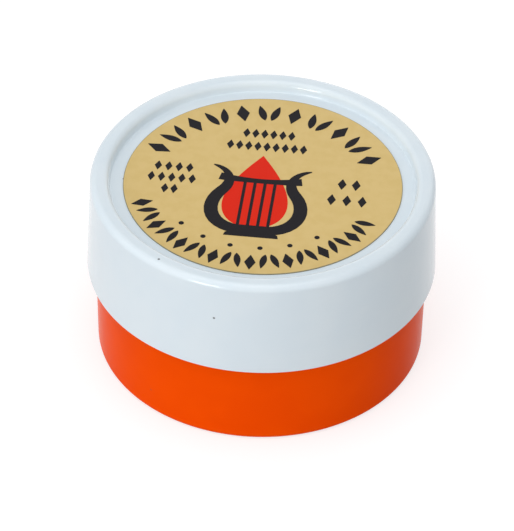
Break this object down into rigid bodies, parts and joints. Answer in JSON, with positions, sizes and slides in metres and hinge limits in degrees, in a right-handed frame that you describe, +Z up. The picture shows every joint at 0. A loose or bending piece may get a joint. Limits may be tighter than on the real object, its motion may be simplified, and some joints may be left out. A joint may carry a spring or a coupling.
{
  "type": "rosin cake",
  "caption": "Round cake of bow rosin in a shallow push-lid box: a drafted cup holds the cake on a felt disc, and a lid with a raised rim, a round label and a foam cushion pulls off upwards.",
  "frame": {"origin": "centre of the foot ring, in the plane it rests on", "axes": "+Z up through the lid, +Y towards the top of the label, +X to the label's right"},
  "size_m": [0.06, 0.06, 0.0344],
  "materials": {
    "cup_plastic": "glossy orange injection-moulded plastic",
    "lid_plastic": "soft-gloss white injection-moulded plastic with a cool tint",
    "rosin": "cast dark amber rosin, glassy where it was cast and dusty where the bow runs",
    "felt": "grey pressed felt",
    "foam": "charcoal open-cell foam",
    "label_paper": "gold paper label with a satin print"
  },
  "bodies": {
    "base": {"base_cup": "cup_plastic", "cake_felt": "felt", "rosin_cake": "rosin"},
    "lid": {"lid_shell": "lid_plastic", "lid_cushion": "foam", "top_label": "label_paper"}
  },
  "joints": [
    {"name": "lid_lift", "type": "slide", "parent": "base", "child": "lid", "axis": [0, 0, 1], "range_m": [0, 0.045]}
  ]
}
